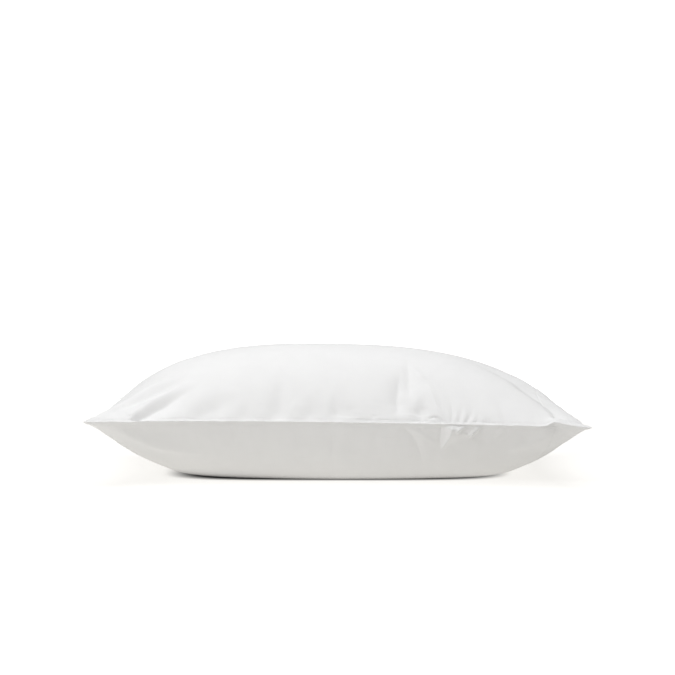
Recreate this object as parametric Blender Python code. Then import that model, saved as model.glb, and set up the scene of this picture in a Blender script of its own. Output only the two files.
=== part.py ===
# A filled bed pillowcase, lying on its back on a flat surface. Metres, +Z up.
# It is cut 750 x 500 mm flat. Filled, its seam is drawn in along all four sides, its corners stand out
# as ears, the upper panel rises to a crown and the under panel goes down and in to a flat foot.
# The origin is on the surface under the middle of the case, with +X along its length.

import math

import bmesh
import bpy
import numpy as np

# Driving sizes of the filled case.
HALF_LENGTH = 0.3575  # middle to the tip of an ear, along X
HALF_DEPTH = 0.236  # middle to the tip of an ear, along Y
DRAWN_IN_ENDS = 0.0235  # how far the seam is pulled in at the middle of each short end
DRAWN_IN_SIDES = 0.0305  # and at the middle of each long side
CROWN = 0.1012  # rise of the upper panel over the seam
DROP = 0.127  # drop that the under panel would have if the surface did not stop it
SEAM_THICK = 0.003  # two layers and their turnings, sewn together
FOOT_SOFTNESS = 0.009  # height over which the under panel eases onto the surface
LEAN = -0.027  # share by which the crown stands off the middle, along X

# How full each panel is: a share of 1 at the middle and 0 at the seam, (1 - |t|^flat)^edge.
# A larger flat keeps the middle level for longer, and a smaller edge is rounder at the seam.
FULLNESS = {
    "upper_along": {"flat": 2.7, "edge": 0.665},
    "upper_across": {"flat": 2.6, "edge": 0.93},
    "under_along": {"flat": 1.8, "edge": 0.44},
    "under_across": {"flat": 2.8, "edge": 0.88},
}
SIDE_CURVE = 2.4  # how late the drawn-in seam runs out to the ears: 2 is a plain parabola

# The seam's height over the surface, from the left end to the right end.
SEAM_HEIGHTS = (0.0923, 0.0921, 0.0913, 0.0897, 0.0878, 0.0862, 0.0847)

# Main folds, as soft troughs: both ends in plan, half the width, and the depth.
FOLD_COLUMNS = ("panel", "x0", "y0", "x1", "y1", "half_width", "depth")
FOLDS = (
    ("upper", -0.296, -0.222, -0.200, -0.172, 0.014, 0.0050),  # left ear, lower trough
    ("upper", -0.313, -0.201, -0.215, -0.118, 0.015, 0.0030),  # left ear, upper trough
    ("upper", 0.305, -0.205, 0.205, -0.070, 0.014, 0.0060),  # right ear, up to the crown
    ("upper", 0.083, -0.198, 0.081, -0.160, 0.012, 0.0030),  # right of the middle
    ("upper", 0.121, -0.200, 0.101, -0.130, 0.012, 0.0025),  # beside it
    ("under", 0.100, -0.203, 0.126, -0.165, 0.014, 0.0030),  # under the gathered seam
    ("under", -0.301, -0.218, -0.240, -0.175, 0.014, 0.0030),  # under the left ear
)

CELLS_ALONG = 60
CELLS_ACROSS = 36
EDGE_BIAS = 0.8  # 0 spaces the lines evenly, 1 crowds them at the seam

WHITE_COTTON = {"colour": (0.84, 0.84, 0.83), "roughness": 0.85}


def clear_scene():
    for obj in list(bpy.data.objects):
        bpy.data.objects.remove(obj, do_unlink=True)


def line_shares(cells):
    """Shares from -1 to 1 for the lines of a panel, closer together near the seam."""
    even = np.linspace(-1.0, 1.0, cells + 1)
    return EDGE_BIAS * np.sin(math.pi / 2 * even) + (1.0 - EDGE_BIAS) * even


def fullness(name, share):
    shape = FULLNESS[name]
    return (1.0 - np.abs(share) ** shape["flat"]) ** shape["edge"]


def plan_of(u, v):
    """X and Y of the panels' lines, between the drawn-in sides."""
    x = u * (HALF_LENGTH - DRAWN_IN_ENDS * (1.0 - np.abs(v) ** SIDE_CURVE))
    y = v * (HALF_DEPTH - DRAWN_IN_SIDES * (1.0 - np.abs(u) ** SIDE_CURVE))
    return x, y


def seam_height(u):
    """The seam's height, on a smooth line through SEAM_HEIGHTS."""
    stations = np.linspace(-1.0, 1.0, len(SEAM_HEIGHTS))
    fit = np.polynomial.Polynomial.fit(stations, SEAM_HEIGHTS, 4)
    return fit(u)


def fold_depth(panel, x, y):
    """How far the folds push a panel in at each point."""
    depth = np.zeros_like(x)
    for row in FOLDS:
        fold = dict(zip(FOLD_COLUMNS, row))
        if fold["panel"] != panel:
            continue
        run_x = fold["x1"] - fold["x0"]
        run_y = fold["y1"] - fold["y0"]
        along = ((x - fold["x0"]) * run_x + (y - fold["y0"]) * run_y) / (run_x**2 + run_y**2)
        near = np.clip(along, 0.0, 1.0)
        off = np.hypot(x - fold["x0"] - near * run_x, y - fold["y0"] - near * run_y)
        fade = np.sin(math.pi * (0.1 + 0.8 * near))
        depth += fold["depth"] * fade * np.exp(-((off / fold["half_width"]) ** 2))
    return depth


def upper_height(u, v):
    full = fullness("upper_along", u - LEAN * (1.0 - u**2)) * fullness("upper_across", v)
    push = np.minimum(fold_depth("upper", *plan_of(u, v)), 0.5 * CROWN * full)
    return seam_height(u) + SEAM_THICK / 2 + CROWN * full - push


def under_height(u, v):
    full = fullness("under_along", u) * fullness("under_across", v)
    push = np.minimum(fold_depth("under", *plan_of(u, v)), 0.5 * DROP * full)
    free = seam_height(u) - SEAM_THICK / 2 - DROP * full + push
    eased = (free + FOOT_SOFTNESS) ** 2 / (4.0 * FOOT_SOFTNESS)
    resting = np.where(free < -FOOT_SOFTNESS, 0.0, eased)
    return np.where(free > FOOT_SOFTNESS, free, resting)


def add_panel(mesh, height_of, u, v):
    """A grid of vertices over the plan, and its faces; returns the vertices by column and row."""
    x, y = plan_of(u, v)
    z = height_of(u, v)
    grid = [
        [mesh.verts.new((x[i, j], y[i, j], z[i, j])) for j in range(u.shape[1])]
        for i in range(u.shape[0])
    ]
    for i in range(CELLS_ALONG):
        for j in range(CELLS_ACROSS):
            mesh.faces.new((grid[i][j], grid[i + 1][j], grid[i + 1][j + 1], grid[i][j + 1]))
    return grid


def edge_loop(grid):
    """The vertices round the seam side of a panel, in order."""
    front = [column[0] for column in grid]
    right = grid[-1][1:]
    back = [column[-1] for column in reversed(grid[:-1])]
    left = list(reversed(grid[0][1:-1]))
    return front + right + back + left


def build_case():
    """One closed filled solid: upper panel, under panel and the sewn edge between them."""
    u, v = np.meshgrid(line_shares(CELLS_ALONG), line_shares(CELLS_ACROSS), indexing="ij")
    shape = bmesh.new()
    upper = edge_loop(add_panel(shape, upper_height, u, v))
    under = edge_loop(add_panel(shape, under_height, u, v))
    for k in range(len(upper)):
        following = (k + 1) % len(upper)
        shape.faces.new((upper[k], upper[following], under[following], under[k]))
    bmesh.ops.recalc_face_normals(shape, faces=shape.faces)
    if shape.calc_volume(signed=True) < 0:
        bmesh.ops.reverse_faces(shape, faces=shape.faces)
    data = bpy.data.meshes.new("pillowcase")
    shape.to_mesh(data)
    shape.free()
    data.shade_smooth()
    case = bpy.data.objects.new("pillowcase", data)
    bpy.context.scene.collection.objects.link(case)
    return case


def cotton():
    material = bpy.data.materials.new("white_cotton")
    material.use_nodes = True
    shader = material.node_tree.nodes["Principled BSDF"]
    shader.inputs["Base Color"].default_value = (*WHITE_COTTON["colour"], 1.0)
    shader.inputs["Roughness"].default_value = WHITE_COTTON["roughness"]
    shader.inputs["Metallic"].default_value = 0.0
    return material


clear_scene()
build_case().data.materials.append(cotton())
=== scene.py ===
import math

import bpy
import numpy as np
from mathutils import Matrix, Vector


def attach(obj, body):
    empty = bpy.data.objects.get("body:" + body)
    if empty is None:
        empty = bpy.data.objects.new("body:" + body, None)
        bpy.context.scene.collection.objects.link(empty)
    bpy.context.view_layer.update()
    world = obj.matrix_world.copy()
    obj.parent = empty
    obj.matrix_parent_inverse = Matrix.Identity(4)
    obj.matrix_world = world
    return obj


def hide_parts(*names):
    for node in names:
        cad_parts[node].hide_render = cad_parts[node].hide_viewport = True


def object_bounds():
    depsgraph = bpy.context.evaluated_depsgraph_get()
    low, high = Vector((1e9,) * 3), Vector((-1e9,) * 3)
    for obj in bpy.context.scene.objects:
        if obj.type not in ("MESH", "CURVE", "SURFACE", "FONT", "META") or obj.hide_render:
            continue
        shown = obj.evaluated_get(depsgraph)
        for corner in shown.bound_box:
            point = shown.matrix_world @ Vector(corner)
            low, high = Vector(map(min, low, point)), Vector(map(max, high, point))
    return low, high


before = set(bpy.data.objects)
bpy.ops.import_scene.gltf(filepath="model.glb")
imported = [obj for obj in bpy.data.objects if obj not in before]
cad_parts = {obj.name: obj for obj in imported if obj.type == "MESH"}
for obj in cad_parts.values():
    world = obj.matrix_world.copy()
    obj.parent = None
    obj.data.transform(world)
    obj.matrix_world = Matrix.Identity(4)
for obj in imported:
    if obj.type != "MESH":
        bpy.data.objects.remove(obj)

cadBox = [list(corner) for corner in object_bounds()]
lowCorner, highCorner = (np.array(corner) for corner in cadBox)
print("frame loaded, case is", [round(float(size), 3) for size in highCorner - lowCorner], "m")

# All lengths are in metres. Shares u and v run from -1 to 1 along the case and across it.
# The ears' reach comes from the frame, the rest is how the cloth fills out between them.
caseShape = {
    "halfLength": float(highCorner[0]),
    "halfDepth": float(highCorner[1]),
    "drawnInEnds": 0.0235,        # seam pulled in at the middle of the short ends
    "drawnInSides": 0.0305,       # and of the long sides
    "sideCurve": 2.4,
    "crown": 0.1012,              # upper panel over the seam
    "drop": 0.127,                # under panel below the seam, if nothing stopped it
    "footSoftness": 0.009,
    "lean": -0.027,
    "seamHeights": (0.0923, 0.0921, 0.0913, 0.0897, 0.0878, 0.0862, 0.0847),
    "upperAlong": (2.7, 0.665),   # how long a panel stays level, how round it is at the seam
    "upperAcross": (2.6, 0.93),
    "underAlong": (1.8, 0.44),
    "underAcross": (2.8, 0.88),
    "flatLength": 0.750,          # the cut cloth
    "flatDepth": 0.500,
    "flatApart": 1.1,             # how far the flat panels lie apart, in depths, so they share no threads
}

# The sewn edge is a narrow ridge with its turnings inside.
sewnEdge = {
    "upperWidth": 0.0026,         # from the stitch line to the edge
    "underWidth": 0.0008,
    "halfThick": 0.0009,
    "noseRows": 10,               # rows of faces round the edge
    "groove": 0.0005,             # dip along the inner edge of the turnings
    "grooveAt": 0.0056,
    "grooveSpread": 0.0011,
    "grooveWaves": (0.020, 0.090),
    "grooveSlant": 1.7,
    "grooveEven": 0.75,           # the rest of its depth comes and goes
    "wander": 0.00016,            # rise and fall of the whole edge
    "wanderWaves": (0.014, 0.070),
    "wanderReach": 0.012,
    "pucker": 0.00030,            # small gathers beside the stitches
    "puckerWaves": (0.007, 0.022),
    "puckerFrom": 0.003,
    "puckerReach": 0.010,
    "puckerFall": 1.5,
    "puckerSlant": 0.3,
    "patchWaves": (0.050, 0.160),  # stretches where they are stronger
    "weakest": 0.35,
    "liftReach": 0.022,
    "earFill": {"upper": 0.0022, "under": 0.00088},    # keeps the panels apart up to the tips of the ears
    "earFrom": 0.004,
    "earReach": 0.016,
    "foldsOver": 0.0045,          # the folds grow over this length from the ridge
    "seeds": {"wander": 11, "patches": 51, "upper": 31, "under": 41, "groove": 18},
}

# Places where the edge is pulled up: x, y side, lift, reach to the left and to the right.
edgeLifts = (
    (0.306, -1, 0.0058, 0.0085, 0.024),
    (-0.297, -1, -0.0010, 0.016, 0.012),
    (-0.300, 1, 0.0020, 0.018, 0.014),
    (0.345, 1, -0.0045, 0.030, 0.020),
)

# The open end, at the right: two hemmed lips, with the gap between them closed inside.
mouth = {
    "hem": 0.050,                 # from the mouth to the line of stitches
    "hemGroove": 0.00030,
    "hemSpread": 0.0011,
    "hemFrom": 0.003,             # distances from the seams over which the hem's groove starts
    "hemTo": 0.009,
    "gape": 0.0016,               # half the gap between the lips, at the middle
    "gapeReach": 0.020,
    "gapeCurve": 0.3,
    "lip": 0.0011,                # half the thickness of a lip
    "lipTurns": ((0.55, 0.95), (1.15, 0.25), (1.05, -0.65), (0.10, -1.0)),    # out and up, round a lip
    "recess": 0.0060,
    "closesOver": 0.030,          # length beside each ear where it is sewn shut
    "endFrom": 0.85,              # share of the half length past which an edge may be the open end
    "endOver": 0.010,
    "endTurn": 0.7,               # and how far it has to face along the case
}
hemShare = 1.0 - mouth["hem"] / (caseShape["flatLength"] / 2)


def smoothStep(value):
    value = np.clip(value, 0.0, 1.0)
    return value * value * (3.0 - 2.0 * value)


def fadeFrom(distance, half):
    # 0 at the edge, 0.5 at the distance half, towards 1 further in
    return distance / half / (1.0 + distance / half)


def unevenLine(place, waves, seed, count=26):
    # a smooth line of unit size that never repeats along place
    draw = np.random.default_rng(seed)
    line = np.zeros_like(place)
    for _ in range(count):
        length = draw.uniform(*waves)
        line += np.sin(2.0 * math.pi * place / length + draw.uniform(0.0, 2.0 * math.pi))
    return line * math.sqrt(2.0 / count)


def panelFullness(name, share):
    level, edge = caseShape[name]
    return np.clip(1.0 - np.abs(share) ** level, 0.0, 1.0) ** edge


def planOf(u, v, inset=0.0):
    # x and y between the drawn-in sides
    curve = caseShape["sideCurve"]
    x = u * (caseShape["halfLength"] - inset - caseShape["drawnInEnds"] * (1.0 - np.abs(v) ** curve))
    y = v * (caseShape["halfDepth"] - inset - caseShape["drawnInSides"] * (1.0 - np.abs(u) ** curve))
    return x, y


def flatOf(u, v):
    # place on the cut cloth
    return u * caseShape["flatLength"] / 2, v * caseShape["flatDepth"] / 2


seamLine = np.polynomial.Polynomial.fit(
    np.linspace(-1.0, 1.0, len(caseShape["seamHeights"])), caseShape["seamHeights"], 4)


def filledShares(u, v, width):
    # shares stretched so that the filling stops at the stitch line, which runs out to the tips of the ears
    width = width * (1.0 - np.abs(u * v) ** 8)
    return (np.clip(u * (1.0 + width / caseShape["halfLength"]), -1.0, 1.0),
            np.clip(v * (1.0 + width / caseShape["halfDepth"]), -1.0, 1.0))


def upperPanel(u, v):
    uIn, vIn = filledShares(u, v, sewnEdge["upperWidth"])
    leaning = uIn - caseShape["lean"] * (1.0 - uIn ** 2)
    full = panelFullness("upperAlong", leaning) * panelFullness("upperAcross", vIn)
    x, y = planOf(u, v, sewnEdge["halfThick"])
    return np.stack([x, y, seamLine(u) + sewnEdge["halfThick"] + caseShape["crown"] * full], -1)


def underPanel(u, v):
    uIn, vIn = filledShares(u, v, sewnEdge["underWidth"])
    full = panelFullness("underAlong", uIn) * panelFullness("underAcross", vIn)
    soft = caseShape["footSoftness"]
    free = seamLine(u) - sewnEdge["halfThick"] - caseShape["drop"] * full
    eased = (free + soft) ** 2 / (4.0 * soft)
    z = np.where(free > soft, free, np.where(free < -soft, 0.0, eased))
    x, y = planOf(u, v, sewnEdge["halfThick"])
    return np.stack([x, y, z], -1)


panels = {"upper": upperPanel, "under": underPanel}
facing = {"upper": 1.0, "under": -1.0}

# The fine grid's lines, and where they crowd: place, spread and weight.
gridLines = {
    "columns": 272,
    "rows": 166,
    "columnCrowding": ((-0.357, 0.018, 2.0), (0.357, 0.018, 2.4), (0.154, 0.050, 1.2), (-0.26, 0.060, 0.3),
                       (hemShare * caseShape["halfLength"], 0.004, 5.0)),
    "rowCrowding": ((-0.236, 0.014, 3.4), (0.236, 0.014, 3.0), (-0.236, 0.05, 0.9), (-0.233, 0.006, 3.0),
                    (0.233, 0.006, 1.5)),
}


def crowdedShares(count, halfSize, crowding):
    # count + 1 shares from -1 to 1
    fine = np.linspace(-1.0, 1.0, 4001)
    density = np.ones_like(fine)
    for place, spread, weight in crowding:
        density += weight * np.exp(-((fine * halfSize - place) / spread) ** 2)
    grown = np.concatenate([[0.0], np.cumsum((density[1:] + density[:-1]) / 2)])
    return np.interp(np.linspace(0.0, grown[-1], count + 1), grown, fine)


# Folds of the cloth, each on a bent line. In millimetres: three plan points on the panel, the width of
# its left and right wall, and its depth (less than 0 for a ridge). As shares: how much of the depth stands
# up beside it on the right (on the left if less than 0), how sharp its bottom is, its width at the start
# and at the end, and how much of its length it takes to fade in and out.
foldLengths = ("x0", "y0", "xMiddle", "yMiddle", "x1", "y1", "leftWall", "rightWall", "depth")
foldColumns = ("panel", *foldLengths, "beside", "crisp", "startWidth", "endWidth", "fadeIn", "fadeOut")
foldTable = (
    # left front ear
    ("upper", -291, -224, -262, -203, -189, -148, 11.0, 22.0, 9.0, -0.40, 0.2, 0.5, 1.1, 0.14, 0.42),
    ("upper", -330, -211, -273, -169, -209, -127, 11.0, 13.0, 8.0, -0.28, 0.0, 0.6, 1.2, 0.45, 0.40),
    ("upper", -218, -214, -179, -198, -131, -169, 19.0, 20.0, 4.8, -0.10, 0.1, 1.0, 0.9, 0.35, 0.60),
    ("upper", -341, -231, -323, -224, -301, -224, 2.5, 3.0, 1.2, 0.30, 0.2, 1.0, 1.0, 0.20, 0.30),
    ("upper", -309, -227, -296, -224, -279, -219, 2.5, 3.0, 1.0, 0.40, 0.2, 1.0, 1.0, 0.10, 0.40),
    ("upper", -350, -229, -328, -203, -292, -165, 14.0, 14.0, -3.4, 0.00, 0.0, 0.6, 1.0, 0.15, 0.35),
    ("upper", -285, -100, -246, -50, -200, 0, 30.0, 30.0, -2.2, 0.00, 0.0, 1.0, 1.0, 0.40, 0.40),
    # along the front seam, left to right
    ("upper", -128, -206, -127, -193, -122, -169, 12.0, 12.0, 2.2, 0.10, 0.2, 1.2, 0.6, 0.25, 0.65),
    ("upper", -83, -204, -81, -185, -78, -127, 13.0, 13.0, 4.6, 0.10, 0.2, 1.2, 0.7, 0.35, 0.55),
    ("upper", -57, -191, -55, -177, -51, -155, 8.0, 7.0, 1.0, 0.00, 0.2, 1.0, 1.0, 0.40, 0.50),
    ("upper", -72, -199, -58, -183, -45, -162, 5.0, 5.0, -0.9, 0.00, 0.3, 1.0, 1.0, 0.30, 0.40),
    ("upper", -37, -204, -33, -188, -22, -153, 14.0, 14.0, 3.0, 0.10, 0.0, 1.2, 0.6, 0.35, 0.60),
    ("upper", 0, -204, 1, -187, 7, -154, 12.0, 13.0, 3.0, 0.10, 0.1, 1.2, 0.6, 0.35, 0.60),
    ("upper", 21, -202, 21, -192, 22, -176, 9.0, 9.0, 1.6, 0.10, 0.1, 1.2, 0.7, 0.30, 0.60),
    ("upper", 48, -203, 51, -199, 55, -195, 3.0, 3.0, 0.9, 0.40, 0.4, 1.0, 1.0, 0.10, 0.40),
    # the long folds right of the middle
    ("upper", 84, -200, 86, -173, 92, -118, 19.0, 34.0, 7.2, 0.00, 0.8, 1.0, 0.8, 0.42, 0.45),
    ("upper", 104, -179, 103, -149, 102, -90, 12.0, 26.0, 4.6, 0.00, 0.6, 0.8, 0.8, 0.55, 0.38),
    ("upper", 112, -192, 114, -167, 117, -124, 8.0, 14.0, -1.1, 0.00, 0.1, 0.8, 1.0, 0.40, 0.40),
    ("upper", 130, -149, 116, -128, 104, -105, 14.0, 6.0, -1.9, 0.00, 0.5, 1.0, 0.8, 0.30, 0.45),
    ("upper", 154, -207, 141, -185, 130, -147, 16.0, 8.0, -2.0, 0.00, 0.5, 0.6, 1.0, 0.30, 0.30),
    ("upper", 118, -207, 118, -196, 121, -178, 14.0, 12.0, 5.0, 0.10, 0.1, 0.7, 1.0, 0.25, 0.50),
    # the gathers at the seam
    ("upper", 128, -203, 139, -200, 150, -208, 2.4, 3.2, 1.9, 0.45, 0.6, 1.0, 1.0, 0.25, 0.10),
    ("upper", 160, -209, 163, -196, 162, -180, 3.2, 4.0, 1.4, 0.30, 0.5, 0.5, 1.2, 0.10, 0.60),
    ("upper", 170, -211, 174, -202, 178, -185, 3.8, 4.5, 2.1, 0.35, 0.6, 0.4, 1.2, 0.05, 0.60),
    ("upper", 178, -211, 184, -206, 193, -187, 3.8, 4.5, 2.2, 0.35, 0.6, 0.4, 1.2, 0.05, 0.55),
    ("upper", 193, -212, 197, -206, 205, -196, 4.0, 4.5, 1.1, 0.30, 0.5, 0.5, 1.2, 0.05, 0.50),
    ("upper", 213, -214, 216, -209, 225, -205, 10.0, 10.0, 1.4, 0.10, 0.1, 1.0, 1.0, 0.10, 0.50),
    # right front ear, up to the crown
    ("upper", 310, -214, 297, -157, 240, -85, 12.0, 26.0, 5.6, 0.08, 0.3, 0.6, 1.1, 0.06, 0.30),
    ("upper", 268, -111, 231, -71, 190, -38, 14.0, 20.0, 3.0, 0.10, 0.2, 1.0, 1.0, 0.35, 0.50),
    ("upper", 340, -215, 316, -130, 235, 10, 22.0, 30.0, -3.6, 0.00, 0.1, 0.7, 1.0, 0.15, 0.35),
    # the tucks under the seam and the small hanging point
    ("under", 164, -210, 158, -199, 147, -185, 6.5, 15.0, -9.2, 0.00, 0.8, 1.4, 0.2, 0.00, 0.12),
    ("under", 147, -207, 146, -199, 144, -188, 3.0, 3.0, 1.6, 0.00, 0.4, 1.0, 0.5, 0.10, 0.30),
    ("under", 108, -203, 127, -197, 144, -188, 6.0, 3.0, -0.9, 0.00, 0.4, 1.0, 1.0, 0.10, 0.30),
    ("under", 127, -207, 124, -205, 118, -203, 1.8, 2.0, -1.2, 0.00, 0.3, 1.0, 1.0, 0.10, 0.40),
    ("under", 180, -210, 174, -208, 168, -204, 2.8, 3.4, -4.4, 0.40, 0.3, 0.7, 1.0, 0.05, 0.30),
    ("under", 204, -212, 194, -207, 185, -199, 3.4, 3.6, -4.8, 0.40, 0.4, 0.6, 1.2, 0.05, 0.30),
    ("under", 197, -212, 185, -209, 179, -204, 2.5, 2.5, 1.8, 0.20, 0.5, 0.7, 1.0, 0.05, 0.40),
    ("under", 177, -203, 185, -203, 191, -202, 2.0, 2.0, -0.8, 0.30, 0.3, 1.0, 1.0, 0.30, 0.30),
    ("under", 92, -202, 113, -190, 123, -156, 11.0, 7.0, 2.2, 0.15, 0.8, 0.5, 1.3, 0.15, 0.40),
    ("under", 236, -214, 231, -208, 223, -200, 4.0, 3.0, -1.2, 0.30, 0.2, 1.0, 1.0, 0.10, 0.40),
    ("under", 200, -200, 200, -184, 197, -158, 6.0, 7.0, -0.8, 0.00, 0.1, 1.0, 1.0, 0.30, 0.40),
    # under the ears
    ("under", -309, -225, -273, -189, -174, -171, 10.0, 18.0, -4.0, 0.35, 0.2, 0.5, 1.3, 0.20, 0.40),
    ("under", -141, -208, -144, -197, -151, -185, 6.0, 6.0, 0.7, 0.20, 0.1, 1.0, 1.0, 0.10, 0.40),
    ("under", 312, -226, 282, -200, 236, -180, 13.0, 10.0, -3.0, -0.30, 0.2, 1.0, 1.0, 0.20, 0.40),
    ("under", -308, 224, -276, 200, -228, 178, 11.0, 9.0, -3.6, 0.30, 0.3, 0.6, 1.0, 0.20, 0.40),
    ("under", 308, 222, 276, 200, 234, 178, 10.0, 12.0, -3.8, 0.30, 0.3, 0.6, 1.0, 0.20, 0.40),
    # the ears at the back
    ("upper", -300, 224, -262, 198, -200, 158, 12.0, 12.0, 5.6, 0.40, 0.4, 0.4, 1.0, 0.12, 0.50),
    ("upper", -322, 206, -286, 162, -222, 104, 11.0, 12.0, 3.4, 0.30, 0.3, 0.5, 1.0, 0.25, 0.50),
    ("upper", 298, 226, 262, 206, 196, 172, 10.0, 13.0, 5.6, 0.45, 0.5, 0.4, 1.0, 0.12, 0.45),
    ("upper", 322, 206, 284, 158, 236, 108, 12.0, 11.0, 3.6, 0.30, 0.3, 0.5, 1.0, 0.25, 0.50),
)
foldProfile = {
    "linePoints": 41,
    "smoothings": 6,
    "reach": 4.0,                 # widths from its line over which a fold can act
    "crispFall": 1.6,
    "besideAt": 2.0,              # widths from its line to the cloth that stands up
    "besideSpread": 0.85,
    "narrowest": 0.35,            # share of its width that is left where it has faded
}


def readFold(row):
    fold = dict(zip(foldColumns, row))
    for name in foldLengths:
        fold[name] /= 1000.0
    return fold


def foldLine(fold, points, x, y):
    # points in space along a fold's bent line, read off the panel at its plan points
    t = np.linspace(0.0, 1.0, foldProfile["linePoints"])
    bendX = 2.0 * fold["xMiddle"] - (fold["x0"] + fold["x1"]) / 2.0
    bendY = 2.0 * fold["yMiddle"] - (fold["y0"] + fold["y1"]) / 2.0
    lineX = (1 - t) ** 2 * fold["x0"] + 2 * t * (1 - t) * bendX + t ** 2 * fold["x1"]
    lineY = (1 - t) ** 2 * fold["y0"] + 2 * t * (1 - t) * bendY + t ** 2 * fold["y1"]
    flatX, flatY = x.ravel(), y.ravel()
    nearest = [int(np.argmin((flatX - a) ** 2 + (flatY - b) ** 2)) for a, b in zip(lineX, lineY)]
    line = points.reshape(-1, 3)[nearest]
    for _ in range(foldProfile["smoothings"]):
        line[1:-1] = (line[:-2] + 2 * line[1:-1] + line[2:]) / 4
    return line


def placeOnLine(here, line):
    # for each point: its share along the line, its distance from it, and whether it is on the left
    starts, steps = line[:-1], np.diff(line, axis=0)
    lengths = np.maximum((steps ** 2).sum(1), 1e-12)
    shares = np.clip(((here[:, None] - starts) * steps).sum(2) / lengths, 0.0, 1.0)
    gaps = np.linalg.norm(here[:, None] - starts - shares[..., None] * steps, axis=2)
    place = gaps.argmin(1)
    rows = np.arange(len(here))
    ahead = line[np.minimum(place + 2, len(line) - 1)] - line[np.maximum(place - 1, 0)]
    offX, offY = (here[:, k] - starts[place, k] for k in range(2))
    onLeft = ahead[:, 0] * offY - ahead[:, 1] * offX > 0
    return (place + shares[rows, place]) / len(steps), gaps[rows, place], onLeft


def pressFolds(side, points):
    # how far the folds push each point of a panel in
    x, y = points[..., 0], points[..., 1]
    push = np.zeros(x.shape)
    for fold in map(readFold, foldTable):
        if fold["panel"] != side:
            continue
        line = foldLine(fold, points, x, y)
        reach = foldProfile["reach"] * max(fold["leftWall"], fold["rightWall"])
        near = ((x > line[:, 0].min() - reach) & (x < line[:, 0].max() + reach)
                & (y > line[:, 1].min() - reach) & (y < line[:, 1].max() + reach))
        along, gap, onLeft = placeOnLine(points[near], line)
        fade = np.ones(len(along))
        if fold["fadeIn"] > 0:
            fade *= smoothStep(along / fold["fadeIn"])
        if fold["fadeOut"] > 0:
            fade *= smoothStep((1.0 - along) / fold["fadeOut"])
        width = fold["startWidth"] + (fold["endWidth"] - fold["startWidth"]) * along
        fade *= np.minimum(width, 1.0)
        width *= foldProfile["narrowest"] + (1.0 - foldProfile["narrowest"]) * np.sqrt(fade)
        off = gap / (width * np.where(onLeft, fold["leftWall"], fold["rightWall"]))
        ridgeSide = onLeft if fold["beside"] < 0 else ~onLeft
        spread = (off - foldProfile["besideAt"]) / foldProfile["besideSpread"]
        ridge = abs(fold["beside"]) * np.exp(-spread ** 2) * ridgeSide
        trough = (fold["crisp"] * np.exp(-foldProfile["crispFall"] * off)
                  + (1.0 - fold["crisp"]) * np.exp(-off ** 2))
        push[near] += fold["depth"] * fade * (trough - ridge)
    return push


def normalsOf(points, side):
    # outward normals of a panel's grid of points
    normals = np.cross(np.gradient(points, axis=0), np.gradient(points, axis=1)) * facing[side]
    return normals / np.maximum(np.linalg.norm(normals, axis=2, keepdims=True), 1e-12)


def gridQuads(index):
    return np.stack([index[:-1, :-1], index[1:, :-1], index[1:, 1:], index[:-1, 1:]], -1).reshape(-1, 4)


# The loose cloth beside the seams is settled by a cloth simulation of both panels, cut to their flat size.
clothSim = {
    "columns": 144,
    "rows": 96,
    "frames": 12,
    "start": 0.0011,              # unevenness it starts from, along the seams only
    "startWaves": (0.020, 0.060),
    "startFrom": 0.012,
    "startReach": 0.055,
    "fan": 0.25,                  # its waves fan out from the middle of each side
    "fanOver": 0.08,
    "looseFrom": 0.001,           # heights from which, and over which, it comes loose
    "looseOver": 0.020,
    "heldBelow": 0.0004,
    "growth": 1.012,              # washed cotton gives a little
    "pressure": 20.0,
    "vertexMass": 0.02,
    "stretch": 40.0,
    "bend": 2.0,
    "steps": 5,
    "smoothing": 5.0,             # cells: slower swellings than this are left out, the filling sets those
    "smoothingFrom": 8.0,
    "cap": 0.006,
    "footFrom": 0.004,            # heights over which the moves start
    "footTo": 0.030,
    "frontFrom": 0.25,            # shares across the case from which, and over which, the front starts
    "frontOver": 0.50,
    "front": {"upper": 0.40, "under": 0.30},    # it is pulled smoother than the other sides
    "others": 1.15,
    "seed": 5,
    "underSeed": 15,
}


def startUnevenness(u, v, side):
    x, y = flatOf(u, v)
    halfX, halfY = flatOf(1.0, 1.0)
    gaps = {"front": y + halfY, "back": halfY - y, "left": x + halfX, "right": halfX - x}
    rise = np.zeros_like(u)
    firstSeed = clothSim["seed" if side == "upper" else "underSeed"]
    for number, (name, gap) in enumerate(gaps.items()):
        place = x if name in ("front", "back") else y
        fanned = place + clothSim["fan"] * gap * np.tanh(place / clothSim["fanOver"])
        wave = unevenLine(fanned, clothSim["startWaves"], firstSeed + number)
        rise += wave * fadeFrom(gap, clothSim["startFrom"]) * np.exp(-(gap / clothSim["startReach"]) ** 2)
    return rise * clothSim["start"]


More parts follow.
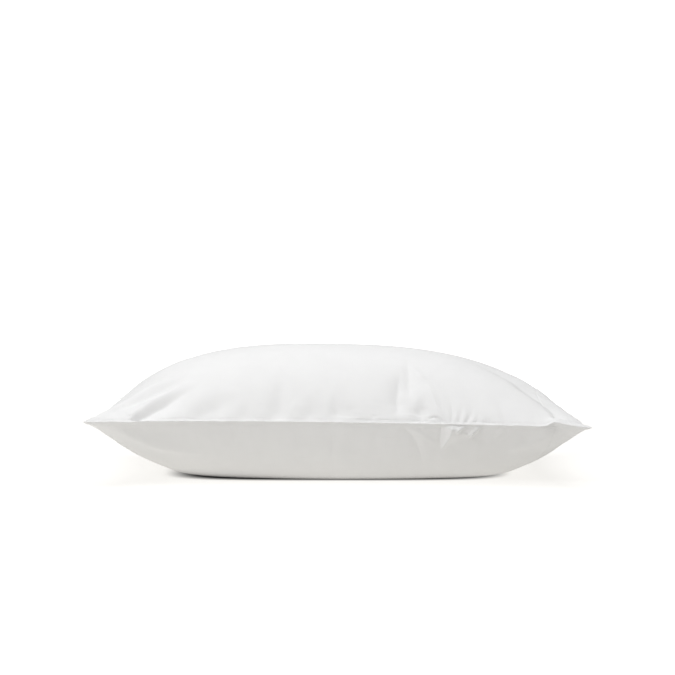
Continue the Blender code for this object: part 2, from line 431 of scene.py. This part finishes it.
def settleShell(vertices, faces, held, cut):
    # a shell under a light pressure, whose cloth was cut to other points, held at some of its own
    scene = bpy.context.scene
    shell = bpy.data.meshes.new("clothShell")
    shell.from_pydata(vertices.tolist(), [], faces.tolist())
    cloth = bpy.data.objects.new("clothShell", shell)
    scene.collection.objects.link(cloth)
    pins = cloth.vertex_groups.new(name="held")
    pins.add([int(i) for i in held], 1.0, "REPLACE")
    cloth.shape_key_add(name="filled")
    cutShape = cloth.shape_key_add(name="cutFlat")
    cutShape.data.foreach_set("co", cut.ravel())
    cutShape.value = 0.0
    modifier = cloth.modifiers.new("settle", "CLOTH")
    settings = modifier.settings
    settings.rest_shape_key = cutShape
    settings.quality = clothSim["steps"]
    settings.mass = clothSim["vertexMass"]
    settings.tension_stiffness = settings.compression_stiffness = clothSim["stretch"]
    settings.shear_stiffness = clothSim["stretch"] / 3.0
    settings.bending_stiffness = clothSim["bend"]
    settings.use_pressure = True
    settings.uniform_pressure_force = clothSim["pressure"]
    settings.vertex_group_mass = "held"
    settings.effector_weights.gravity = 0.0
    modifier.collision_settings.use_collision = False
    modifier.point_cache.frame_start = 1
    modifier.point_cache.frame_end = clothSim["frames"]
    for step in range(1, clothSim["frames"] + 1):
        scene.frame_set(step)
    settled = np.empty(len(vertices) * 3, np.float32)
    evaluated = cloth.evaluated_get(bpy.context.evaluated_depsgraph_get())
    evaluated.data.vertices.foreach_get("co", settled)
    bpy.data.objects.remove(cloth, do_unlink=True)
    bpy.data.meshes.remove(shell)
    scene.frame_set(1)
    return settled.reshape(-1, 3).astype(float)


def blurTable(count, spread):
    cells = np.arange(count)
    table = np.exp(-(cells[:, None] - cells[None]) ** 2 / (2.0 * spread ** 2))
    return table / table.sum(1, keepdims=True)


def readAcross(tableU, values, tableV):
    # a panel's values, weighted by one table along it and another across it
    return (tableU @ values.transpose(2, 0, 1) @ tableV.T).transpose(1, 2, 0)


def simulateCloth():
    # both panels as one shell, held at the seam and where it lies: how far each point of them moves
    columns, rows = clothSim["columns"], clothSim["rows"]
    u, v = np.meshgrid(np.linspace(-1, 1, columns + 1), np.linspace(-1, 1, rows + 1), indexing="ij")
    inner = np.zeros(u.shape, bool)
    inner[1:-1, 1:-1] = True
    plain = {side: panels[side](u, v) for side in panels}
    seam = (plain["upper"] + plain["under"]) / 2
    start = {}
    for side, points in plain.items():
        points[~inner] = seam[~inner]
        loose = smoothStep((points[..., 2] - clothSim["looseFrom"]) / clothSim["looseOver"]) * inner
        start[side] = points + normalsOf(points, side) * (startUnevenness(u, v, side) * loose)[..., None]
    upperIndex = np.arange(u.size).reshape(u.shape)
    underIndex = upperIndex.copy()
    underIndex[inner] = u.size + np.arange(inner.sum())
    vertices = np.concatenate([start["upper"].reshape(-1, 3), start["under"][inner]])
    faces = np.concatenate([gridQuads(upperIndex), gridQuads(underIndex)[:, ::-1]])
    held = np.concatenate([upperIndex[~inner], np.flatnonzero(vertices[:, 2] < clothSim["heldBelow"])])
    flat = np.stack([*flatOf(u, v), 0 * u], -1)
    cut = np.concatenate([flat.reshape(-1, 3), flat[inner]]) * clothSim["growth"]
    settled = settleShell(vertices, faces, held, cut)

    moves = {}
    blurU = blurTable(columns + 1, clothSim["smoothing"])
    blurV = blurTable(rows + 1, clothSim["smoothing"])
    toEdge = np.minimum((1 - np.abs(u)) * columns, (1 - np.abs(v)) * rows)
    edgeShare = smoothStep(toEdge / clothSim["smoothingFrom"])
    front = smoothStep((-clothSim["frontFrom"] - v) / clothSim["frontOver"])
    for side, points in plain.items():
        moved = settled[:u.size].reshape(points.shape).copy()
        if side == "under":
            moved[inner] = settled[u.size:]
        height = points[..., 2]
        free = smoothStep((height - clothSim["footFrom"]) / (clothSim["footTo"] - clothSim["footFrom"]))
        move = (moved - points) * free[..., None]
        move -= readAcross(blurU, move, blurV) * edgeShare[..., None]
        size = np.linalg.norm(move, axis=2, keepdims=True)
        move *= clothSim["cap"] * np.tanh(size / clothSim["cap"]) / np.maximum(size, 1e-9)
        share = clothSim["others"] + (clothSim["front"][side] - clothSim["others"]) * front
        moves[side] = move * share[..., None]
    return moves


def curveTable(shares, cells):
    # weights that read a coarse line of cells + 1 values at each share, on a smooth curve
    place = np.clip((shares + 1.0) / 2.0 * cells, 0.0, cells - 1e-9)
    first = np.floor(place).astype(int)
    t = place - first
    weights = (-t / 2 + t ** 2 - t ** 3 / 2, 1 - 2.5 * t ** 2 + 1.5 * t ** 3,
               t / 2 + 2 * t ** 2 - 1.5 * t ** 3, -t ** 2 / 2 + t ** 3 / 2)
    table = np.zeros((len(shares), cells + 1))
    for offset, weight in zip((-1, 0, 1, 2), weights):
        np.add.at(table, (np.arange(len(shares)), np.clip(first + offset, 0, cells)), weight)
    return table


def edgeDistances(points):
    # distance along the cloth from each point to the front, back, left and right edge
    alongSteps = np.linalg.norm(np.diff(points, axis=0), axis=2)
    acrossSteps = np.linalg.norm(np.diff(points, axis=1), axis=2)
    left = np.concatenate([np.zeros((1, points.shape[1])), np.cumsum(alongSteps, 0)])
    front = np.concatenate([np.zeros((points.shape[0], 1)), np.cumsum(acrossSteps, 1)], 1)
    return {"front": front, "back": front[:, -1:] - front, "left": left, "right": left[-1] - left}


def mouthShare(y):
    # 1 where the right end is open, 0 where it is sewn shut beside the ears
    reach = caseShape["halfDepth"] - mouth["closesOver"]
    rounded = np.cos(np.clip(y / reach, -1, 1) * math.pi / 2) ** mouth["gapeCurve"]
    return smoothStep((reach - np.abs(y)) / mouth["closesOver"]) * rounded


def edgeWork(side, points, u):
    # what the sewn edge and the hem do to a panel: a lift in z and a push in
    gaps = edgeDistances(points)
    nearest = np.minimum.reduce(list(gaps.values()))
    x, y = points[..., 0], points[..., 1]
    lift, push = np.zeros_like(x), np.zeros_like(x)
    seeds = sewnEdge["seeds"]
    for number, (name, gap) in enumerate(gaps.items()):
        place = x if name in ("front", "back") else y
        wander = unevenLine(place, sewnEdge["wanderWaves"], seeds["wander"] + number)
        lift += sewnEdge["wander"] * wander * np.exp(-(gap / sewnEdge["wanderReach"]) ** 2)
        patches = unevenLine(place, sewnEdge["patchWaves"], seeds["patches"] + number)
        strength = sewnEdge["weakest"] + (1.0 - sewnEdge["weakest"]) * smoothStep(0.5 + 0.6 * patches)
        slanted = place + sewnEdge["puckerSlant"] * gap
        gathers = unevenLine(slanted, sewnEdge["puckerWaves"], seeds[side] + number)
        fade = np.exp(-(gap / sewnEdge["puckerReach"]) ** sewnEdge["puckerFall"])
        push += sewnEdge["pucker"] * strength * gathers * fadeFrom(gap, sewnEdge["puckerFrom"]) * fade
    for place, ySide, height, leftReach, rightReach in edgeLifts:
        gap = gaps["front" if ySide < 0 else "back"]
        reach = np.where(x < place, leftReach, rightReach)
        lift += height * np.exp(-((x - place) / reach) ** 2) * np.exp(-(gap / sewnEdge["liftReach"]) ** 2)
    toTip = np.hypot(np.abs(x) - caseShape["halfLength"], np.abs(y) - caseShape["halfDepth"])
    ear = smoothStep(nearest / sewnEdge["earFrom"]) * np.exp(-(toTip / sewnEdge["earReach"]) ** 2)
    push -= sewnEdge["earFill"][side] * ear
    groove = np.exp(-((nearest - sewnEdge["grooveAt"]) / sewnEdge["grooveSpread"]) ** 2)
    wave = unevenLine(x + sewnEdge["grooveSlant"] * y, sewnEdge["grooveWaves"], seeds["groove"])
    push += sewnEdge["groove"] * groove * (sewnEdge["grooveEven"] + (1.0 - sewnEdge["grooveEven"]) * wave)
    hemLine = np.exp(-((u - hemShare) * caseShape["flatLength"] / 2 / mouth["hemSpread"]) ** 2)
    hemFade = smoothStep((nearest - mouth["hemFrom"]) / (mouth["hemTo"] - mouth["hemFrom"]))
    push += mouth["hemGroove"] * hemLine * hemFade
    gaping = mouthShare(y) * np.exp(-(gaps["right"] / mouth["gapeReach"]) ** 2)
    lift += facing[side] * mouth["gape"] * gaping
    return lift, push, nearest


def finePanel(side, u, v, moves):
    # a panel's points with what the simulation, the folds and the sewn edge do to it
    plain = panels[side](u, v)
    lift, push, nearest = edgeWork(side, plain, u)
    ease = smoothStep((nearest - 0.5 * sewnEdge[side + "Width"]) / sewnEdge["foldsOver"])
    push += pressFolds(side, plain) * ease
    points = plain - normalsOf(plain, side) * push[..., None]
    if moves:
        points += readAcross(curveTable(u[:, 0], clothSim["columns"]), moves[side],
                             curveTable(v[0], clothSim["rows"]))
    points[..., 2] = np.maximum(points[..., 2] + lift, 0.0)
    return points


def edgeLoop(grid):
    # a grid's border values in order: front, right end, back, left end
    return np.concatenate([grid[:-1, 0], grid[-1, :-1], grid[:0:-1, -1], grid[0, :0:-1]])


def noseRows(upperEdge, underEdge):
    # rows of points round the edge, from the upper panel's border to the under panel's
    middle = (upperEdge + underEdge) / 2
    half = (upperEdge - underEdge) / 2
    ahead = np.roll(middle, -1, 0) - np.roll(middle, 1, 0)
    outward = np.stack([ahead[:, 1], -ahead[:, 0], np.zeros(len(ahead))], 1)
    outward /= np.linalg.norm(outward, axis=1, keepdims=True)
    pastEnd = (middle[:, 0] - mouth["endFrom"] * caseShape["halfLength"]) / mouth["endOver"]
    rightEnd = smoothStep(pastEnd) * (outward[:, 0] > mouth["endTurn"])
    isOpen = (rightEnd * mouthShare(middle[:, 1]))[:, None]
    count = sewnEdge["noseRows"]
    rows = []
    for k in range(1, count):
        turn = math.pi / 2 - math.pi * k / count
        closed = middle + half * math.sin(turn) + outward * sewnEdge["halfThick"] * math.cos(turn)
        if k == count // 2:
            opened = middle - outward * mouth["recess"]
        else:
            upperLip = k < count // 2
            out, up = mouth["lipTurns"][k - 1 if upperLip else count - 1 - k]
            edge, sign = (upperEdge, 1.0) if upperLip else (underEdge, -1.0)
            opened = edge + outward * mouth["lip"] * out
            opened[:, 2] += sign * mouth["lip"] * (up - 1.0)
        rows.append(closed + (opened - closed) * isOpen)
    return rows


def newPiece(name, vertices, faces, onThreads):
    # a smooth piece, with the place of each of its points on the cloth's threads
    mesh = bpy.data.meshes.new(name)
    mesh.from_pydata(vertices.tolist(), [], faces)
    mesh.shade_smooth()
    loops = np.empty(len(mesh.loops), np.int32)
    mesh.loops.foreach_get("vertex_index", loops)
    threadMap = mesh.uv_layers.new(name="clothThreads")
    threadMap.data.foreach_set("uv", onThreads[loops].ravel().astype(np.float32))
    piece = bpy.data.objects.new(name, mesh)
    bpy.context.scene.collection.objects.link(piece)
    return piece


def buildCase(moves):
    halfLength, halfDepth = caseShape["halfLength"], caseShape["halfDepth"]
    u, v = np.meshgrid(crowdedShares(gridLines["columns"], halfLength, gridLines["columnCrowding"]),
                       crowdedShares(gridLines["rows"], halfDepth, gridLines["rowCrowding"]), indexing="ij")
    upper, under = finePanel("upper", u, v, moves), finePanel("under", u, v, moves)
    index = np.arange(u.size).reshape(u.shape)
    border = edgeLoop(index)
    nose = noseRows(edgeLoop(upper), edgeLoop(under))
    noseIndex = 2 * u.size + np.arange(len(nose) * len(border)).reshape(len(nose), -1)
    rings = [border, *noseIndex, border + u.size]
    faces = [gridQuads(index), gridQuads(index)[:, ::-1] + u.size]
    for above, below in zip(rings, rings[1:]):
        faces.append(np.stack([above, below, np.roll(below, -1), np.roll(above, -1)], -1))
    flat = np.stack(flatOf(u, v), -1)
    flatUnder = flat - (0.0, caseShape["flatApart"] * caseShape["flatDepth"])
    onThreads = [flat.reshape(-1, 2), flatUnder.reshape(-1, 2)] + [edgeLoop(flat)] * len(nose)
    vertices = np.concatenate([upper.reshape(-1, 3), under.reshape(-1, 3), *nose])
    case = newPiece("pillowcaseBody", vertices, np.concatenate(faces).tolist(), np.concatenate(onThreads))
    return case, {"upper": upper, "under": under, "columnShares": u[:, 0]}


moves = simulateCloth()
print("cloth settled" if moves else "cloth left as drawn")
case, caseGrid = buildCase(moves)
print("case built,", len(case.data.polygons), "faces")

# The hem of the open end is held by a row of stitches on each panel, following the threads of the cloth.
hemStitches = {
    "length": 0.0028,
    "gap": 0.0007,
    "thickness": 0.00042,
    "fromSeam": 0.0065,           # the row starts and stops short of the seams
    "turnReach": 0.0005,          # a stitch's direction is read over this length on either side
    "places": (0.0, 0.12, 0.35, 0.65, 0.88, 1.0),     # rings of a stitch, in shares of its length
    "heights": (-0.7, 0.0, 0.35, 0.35, 0.0, -0.7),    # its ends dip into the cloth, in thicknesses
    "fatness": (0.55, 0.85, 1.0, 1.0, 0.85, 0.55),
    "sides": 6,
}


def stitchRings(side):
    # points round every ring of every stitch of one panel, and where they are on the thread
    shares, points = caseGrid["columnShares"], caseGrid[side]
    normals = normalsOf(points, side)
    after = int(np.searchsorted(shares, hemShare))
    t = (hemShare - shares[after - 1]) / (shares[after] - shares[after - 1])
    line = (1 - t) * points[after - 1] + t * points[after]
    outward = (1 - t) * normals[after - 1] + t * normals[after]
    lengths = np.concatenate([[0.0], np.cumsum(np.linalg.norm(np.diff(line, axis=0), axis=1))])
    inset, stitch = hemStitches["fromSeam"], hemStitches["length"]
    starts = np.arange(inset, lengths[-1] - inset - stitch, stitch + hemStitches["gap"])
    place = starts[:, None] + np.array(hemStitches["places"]) * stitch

    def readLine(values, where):
        return np.stack([np.interp(where, lengths, values[:, k]) for k in range(3)], -1)

    up = readLine(outward, place)
    up /= np.linalg.norm(up, axis=-1, keepdims=True)
    step = hemStitches["turnReach"]
    ahead = readLine(line, place + step) - readLine(line, place - step)
    ahead /= np.linalg.norm(ahead, axis=-1, keepdims=True)
    aside = np.cross(up, ahead)
    thick = hemStitches["thickness"]
    centre = readLine(line, place) + up * (np.array(hemStitches["heights"]) * thick)[:, None]
    turn = np.linspace(0.0, 2.0 * math.pi, hemStitches["sides"], endpoint=False)
    radius = (np.array(hemStitches["fatness"]) * thick / 2)[:, None, None]
    ring = (aside[:, :, None] * np.cos(turn)[:, None] + up[:, :, None] * np.sin(turn)[:, None]) * radius
    onThread = np.stack(np.broadcast_arrays(place[..., None], turn * thick / 2), -1)
    return (centre[:, :, None] + ring).reshape(-1, 3), onThread.reshape(-1, 2)


def buildStitches():
    vertices, onThread = (np.concatenate(both) for both in zip(*map(stitchRings, panels)))
    index = np.arange(len(vertices)).reshape(-1, len(hemStitches["places"]), hemStitches["sides"])
    turned = np.roll(index, -1, 2)
    faces = np.stack([index[:, :-1], turned[:, :-1], turned[:, 1:], index[:, 1:]], -1).reshape(-1, 4).tolist()
    faces += index[:, 0, ::-1].tolist() + index[:, -1].tolist()
    return newPiece("hemStitches", vertices, faces, onThread)


stitches = buildStitches()
print("hem stitched,", len(stitches.data.polygons), "faces")


def newMaterial(name):
    material = bpy.data.materials.new(name)
    material.use_nodes = True
    return material, material.node_tree, material.node_tree.nodes["Principled BSDF"].inputs


def newGroup(name, inputs, outputs):
    # a shader node group whose inputs are (name, starting value), a vector where that is None
    group = bpy.data.node_groups.new(name, "ShaderNodeTree")
    for label, value in inputs:
        kind = "NodeSocketVector" if value is None else "NodeSocketFloat"
        socket = group.interface.new_socket(label, in_out="INPUT", socket_type=kind)
        if value is not None:
            socket.default_value = value
    for label in outputs:
        group.interface.new_socket(label, in_out="OUTPUT", socket_type="NodeSocketFloat")
    return group, group.nodes.new("NodeGroupInput").outputs, group.nodes.new("NodeGroupOutput").inputs


def feed(tree, sockets, values):
    # each socket gets its value, which is a constant or another node's output
    for socket, value in zip(sockets, values):
        if isinstance(value, bpy.types.NodeSocket):
            tree.links.new(value, socket)
        else:
            socket.default_value = value


def placeNode(tree, kind, *values, **settings):
    # a node with settings of its own, its first inputs fed
    node = tree.nodes.new(kind)
    for name, value in settings.items():
        setattr(node, name, value)
    feed(tree, node.inputs, values)
    return node


def placeGroup(tree, group, **values):
    node = placeNode(tree, "ShaderNodeGroup", node_tree=group)
    feed(tree, [node.inputs[label] for label in values], values.values())
    return node.outputs


def calc(tree, operation, *values):
    return placeNode(tree, "ShaderNodeMath", *values, operation=operation).outputs["Value"]


def vectorCalc(tree, operation, *values):
    return placeNode(tree, "ShaderNodeVectorMath", *values, operation=operation).outputs["Vector"]


def spreadOver(tree, value, fromMin, fromMax, toMin, toMax, steps="SMOOTHSTEP"):
    return placeNode(tree, "ShaderNodeMapRange", value, fromMin, fromMax, toMin, toMax,
                     interpolation_type=steps).outputs["Result"]


def softNoise(tree, vector, stretch, detail=1.0):
    # a noise stretched along the axes, in cells per metre
    noise = placeNode(tree, "ShaderNodeTexNoise", vectorCalc(tree, "MULTIPLY", vector, stretch))
    feed(tree, (noise.inputs["Scale"], noise.inputs["Detail"]), (1.0, detail))
    return noise.outputs["Fac"]


# Threads are (along the case, across it). A slub is a stretch of thicker yarn.
threads = {
    "slubAlong": (30.0, 900.0, 0.0),
    "slubAcross": (900.0, 30.0, 0.0),
    "slubFrom": 0.60,
    "slubTo": 0.82,
    "slubTone": 0.020,            # thicker yarn looks a little darker
    "hollowPaintedShade": 0.012,          # painted shade: the hollows between the threads are darkened
}


def buildWeave():
    group, given, result = newGroup("clothWeave", (("Threads", None), ("Pitch", 0.0005), ("Slub", 1.0)),
                                    ("Height", "Tone"))
    axes = placeNode(group, "ShaderNodeSeparateXYZ", given["Threads"]).outputs
    waves = [calc(group, "SINE", calc(group, "MULTIPLY", calc(group, "DIVIDE", axes[k], given["Pitch"]),
                                      math.pi)) for k in ("X", "Y")]
    weave = calc(group, "MULTIPLY_ADD", calc(group, "MULTIPLY", *waves), 0.5, 0.5)
    slubs = [spreadOver(group, softNoise(group, given["Threads"], threads[k]), threads["slubFrom"],
                        threads["slubTo"], 0.0, 1.0) for k in ("slubAlong", "slubAcross")]
    slub = calc(group, "MULTIPLY", calc(group, "MAXIMUM", *slubs), given["Slub"])
    # darker holds the slubs' own tone and the painted shade of the hollows
    darker = calc(group, "MULTIPLY_ADD", calc(group, "SUBTRACT", 1.0, weave), threads["hollowPaintedShade"],
                  calc(group, "MULTIPLY", slub, threads["slubTone"]))
    feed(group, (result["Height"], result["Tone"]),
         (calc(group, "ADD", weave, slub), calc(group, "SUBTRACT", 1.0, darker)))
    return group


# What washing does to cotton: soft unevenness of its surface, tone and roughness.
washing = {
    "broad": (34.0, 34.0, 34.0),
    "small": (150.0, 150.0, 150.0),
    "detail": 2.0,
    "smallHeight": 0.16,          # of the broad unevenness
    "wornFrom": 0.35,
    "wornTo": 0.65,
    "roughFrom": 0.30,
    "roughTo": 0.70,
}


def buildWash():
    group, given, result = newGroup("washedCotton", (("Place", None), ("Fade", 0.015), ("Rough", 0.8),
                                                     ("RoughSpread", 0.04)), ("Height", "Tone", "Roughness"))
    broad, small = (softNoise(group, given["Place"], washing[k], washing["detail"])
                    for k in ("broad", "small"))
    worn = spreadOver(group, broad, washing["wornFrom"], washing["wornTo"], 0.0, 1.0)
    uneven = spreadOver(group, small, washing["roughFrom"], washing["roughTo"], -1.0, 1.0)
    feed(group, (result["Height"], result["Tone"], result["Roughness"]),
         (calc(group, "MULTIPLY_ADD", small, washing["smallHeight"], broad),
          calc(group, "SUBTRACT", 1.0, calc(group, "MULTIPLY", worn, given["Fade"])),
          calc(group, "MULTIPLY_ADD", uneven, given["RoughSpread"], given["Rough"])))
    return group


def clothMaterial(name, look, weaveGroup, washGroup):
    # cotton made of the two groups: their tones multiply, their heights stack as two bumps
    material, tree, shader = newMaterial(name)
    shader["Specular IOR Level"].default_value = look["specular"]
    shader["Sheen Weight"].default_value = look["sheen"]
    shader["Sheen Roughness"].default_value = look["sheenRoughness"]
    onThreads = placeNode(tree, "ShaderNodeUVMap", uv_map="clothThreads")
    turned = placeNode(tree, "ShaderNodeMapping", onThreads.outputs["UV"])
    turned.inputs["Rotation"].default_value = (0.0, 0.0, math.radians(look["threadTurn"]))
    place = placeNode(tree, "ShaderNodeTexCoord").outputs["Object"]
    weave = placeGroup(tree, weaveGroup, Threads=turned.outputs["Vector"], Pitch=look["pitch"],
                       Slub=look["slub"])
    wash = placeGroup(tree, washGroup, Place=place, Fade=look["fade"], Rough=look["rough"],
                      RoughSpread=look["roughSpread"])
    tint = placeNode(tree, "ShaderNodeVectorMath", look["colour"], operation="SCALE")
    # the weave's tone includes painted shade in the hollows between the threads
    tree.links.new(calc(tree, "MULTIPLY", weave["Tone"], wash["Tone"]), tint.inputs["Scale"])
    broadBump, threadBump = (placeNode(tree, "ShaderNodeBump") for _ in range(2))
    feed(tree, (broadBump.inputs["Distance"], broadBump.inputs["Height"]),
         (look["washHeight"], wash["Height"]))
    feed(tree, (threadBump.inputs["Distance"], threadBump.inputs["Height"], threadBump.inputs["Normal"]),
         (look["threadHeight"], weave["Height"], broadBump.outputs["Normal"]))
    feed(tree, (shader["Base Color"], shader["Roughness"], shader["Normal"]),
         (tint.outputs["Vector"], wash["Roughness"], threadBump.outputs["Normal"]))
    return material


cottonLook = {
    "colour": (0.862, 0.862, 0.862),
    "specular": 0.25,
    "sheen": 0.12,
    "sheenRoughness": 0.5,
    "threadTurn": 0.0,            # degrees
    "pitch": 0.00055,
    "slub": 1.0,
    "threadHeight": 0.00004,
    "washHeight": 0.0005,
    "fade": 0.012,
    "rough": 0.80,
    "roughSpread": 0.05,
}
threadLook = dict(cottonLook, colour=(0.87, 0.868, 0.862), sheen=0.05, threadTurn=38.0, pitch=0.00022,
                  slub=0.4, washHeight=0.0002, rough=0.62)

weaveGroup, washGroup = buildWeave(), buildWash()
case.data.materials.append(clothMaterial("whiteCotton", cottonLook, weaveGroup, washGroup))
stitches.data.materials.append(clothMaterial("cottonThread", threadLook, weaveGroup, washGroup))
print("cotton and thread made")

# Studio: a floor that gives its own pale light, painted light since the floor is no lamp, a white surround,
# and soft boxes round the case.
studio = {
    "floorSize": 12.0,
    "floorDrop": 0.0004,
    "floorColour": (0.36, 0.359, 0.356),
    "floorRoughness": 0.9,
    "farReach": (1.0, 1.0),       # past this reach the floor fades into the white surround
    "farShares": (0.70, 1.50),
    "seenColour": (1.0, 0.985, 0.955),
    "glowSeen": 0.73,             # the floor's own light, painted light so that shadows on it stay pale
    "givenColour": (1.0, 0.976, 0.924),
    "glowGiven": 0.555,           # and as much of it as falls on the case, painted light from below
    "dimFrom": 0.02,              # less of it towards the right, which paints shade on the case's right end
    "dimTo": 0.45,
    "dimShare": 0.84,
    "footReach": (0.246, 0.1403),
    "footShares": (0.85, 1.08),   # no glow where the case lies
    "nearReach": (0.300, 0.195),
    "nearShares": (0.80, 1.15),
    "nearGlow": 0.13,             # more painted light close to the foot
    "surround": 0.0,              # light from the surround
    "backdrop": 1.05,             # and how bright it looks
    "aim": (0.0, 0.0, 0.08),
}
lampColumns = ("name", "place", "size", "power")
lampTable = (
    ("keyLight", (-1.7, -1.6, 1.9), 1.3, 31.0),
    ("topLight", (0.0, 0.0, 2.6), 2.6, 49.5),
    ("backTopLight", (0.0, 1.8, 2.0), 2.0, 14.0),
    ("rightLight", (2.0, -0.5, 1.8), 1.3, 7.0),
    ("frontLight", (0.0, -2.4, 2.0), 1.8, 10.5),
)


def softBox(name, place, size, power):
    light = bpy.data.lights.new(name, "AREA")
    light.shape = "SQUARE"
    light.size = size
    light.energy = power
    box = bpy.data.objects.new(name, light)
    box.location = place
    box.rotation_euler = (Vector(studio["aim"]) - Vector(place)).to_track_quat("-Z", "Y").to_euler()
    box.visible_camera = False
    bpy.context.scene.collection.objects.link(box)


def floorMask(tree, place, name):
    # 0 within one share of a rounded rectangle's reach on the floor and 1 past the other
    shares = vectorCalc(tree, "DIVIDE", place, (*studio[name + "Reach"], 1.0))
    squares = vectorCalc(tree, "MULTIPLY", shares, shares)
    fourths = placeNode(tree, "ShaderNodeVectorMath", squares, squares, operation="DOT_PRODUCT")
    start, end = studio[name + "Shares"]
    return spreadOver(tree, fourths.outputs["Value"], start ** 4, end ** 4, 0.0, 1.0)


def floorMaterial():
    material, tree, shader = newMaterial("floorWhite")
    shader["Base Color"].default_value = (*studio["floorColour"], 1.0)
    shader["Roughness"].default_value = studio["floorRoughness"]
    shader["Specular IOR Level"].default_value = 0.0
    place = placeNode(tree, "ShaderNodeTexCoord").outputs["Object"]
    seen = placeNode(tree, "ShaderNodeLightPath").outputs["Is Camera Ray"]
    far, beside, near = (floorMask(tree, place, name) for name in ("far", "foot", "near"))
    sides = placeNode(tree, "ShaderNodeSeparateXYZ", place).outputs["X"]
    dimmed = spreadOver(tree, sides, studio["dimFrom"], studio["dimTo"], studio["glowGiven"],
                        studio["glowGiven"] * studio["dimShare"], "LINEAR")
    closer = calc(tree, "MULTIPLY_ADD", near, -studio["nearGlow"], 1.0 + studio["nearGlow"])
    given = calc(tree, "MULTIPLY", beside, calc(tree, "MULTIPLY", dimmed, closer))
    shown = calc(tree, "MULTIPLY_ADD", beside, studio["glowSeen"], far)
    glow = placeNode(tree, "ShaderNodeMix")
    feed(tree, (glow.inputs["Factor"], glow.inputs["A"], glow.inputs["B"]), (seen, given, shown))
    colourStep = Vector(studio["seenColour"]) - Vector(studio["givenColour"])
    feed(tree, (shader["Emission Strength"], shader["Emission Color"]),
         (glow.outputs["Result"], vectorCalc(tree, "MULTIPLY_ADD", seen, colourStep, studio["givenColour"])))
    return material


def buildFloor():
    half = studio["floorSize"] / 2
    mesh = bpy.data.meshes.new("studioFloor")
    corners = [(-half, -half, 0), (half, -half, 0), (half, half, 0), (-half, half, 0)]
    mesh.from_pydata(corners, [], [(0, 1, 2, 3)])
    mesh.materials.append(floorMaterial())
    floor = bpy.data.objects.new("studioFloor", mesh)
    floor.location.z = -studio["floorDrop"]
    bpy.context.scene.collection.objects.link(floor)


def buildSurround():
    world = bpy.data.worlds.new("studioSurround")
    bpy.context.scene.world = world
    world.use_nodes = True
    tree = world.node_tree
    white = (1.0, 1.0, 1.0, 1.0)
    lighting = tree.nodes["Background"]
    feed(tree, lighting.inputs, (white, studio["surround"]))
    backdrop = placeNode(tree, "ShaderNodeBackground", white, studio["backdrop"])
    seen = placeNode(tree, "ShaderNodeLightPath").outputs["Is Camera Ray"]
    choose = placeNode(tree, "ShaderNodeMixShader", seen, lighting.outputs["Background"],
                       backdrop.outputs["Background"])
    tree.links.new(choose.outputs["Shader"], tree.nodes["World Output"].inputs["Surface"])


view = {"place": (0.0, -2.9908, 0.3254), "pitch": 2.369, "lens": 104.97, "sensor": 36.0, "reach": 50.0}


def placeCamera():
    camera = bpy.data.cameras.new("photoCamera")
    camera.sensor_width = view["sensor"]
    camera.lens = view["lens"]
    camera.clip_end = view["reach"]
    holder = bpy.data.objects.new("photoCamera", camera)
    holder.location = view["place"]
    holder.rotation_euler = (math.radians(90.0 - view["pitch"]), 0.0, 0.0)
    bpy.context.scene.collection.objects.link(holder)
    bpy.context.scene.camera = holder


buildFloor()
buildSurround()
for lamp in lampTable:
    softBox(**dict(zip(lampColumns, lamp)))
placeCamera()
bpy.context.scene.view_settings.view_transform = "Standard"
print("studio and camera set")

for piece in case, stitches:
    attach(piece, "root")
    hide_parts("pillowcase")
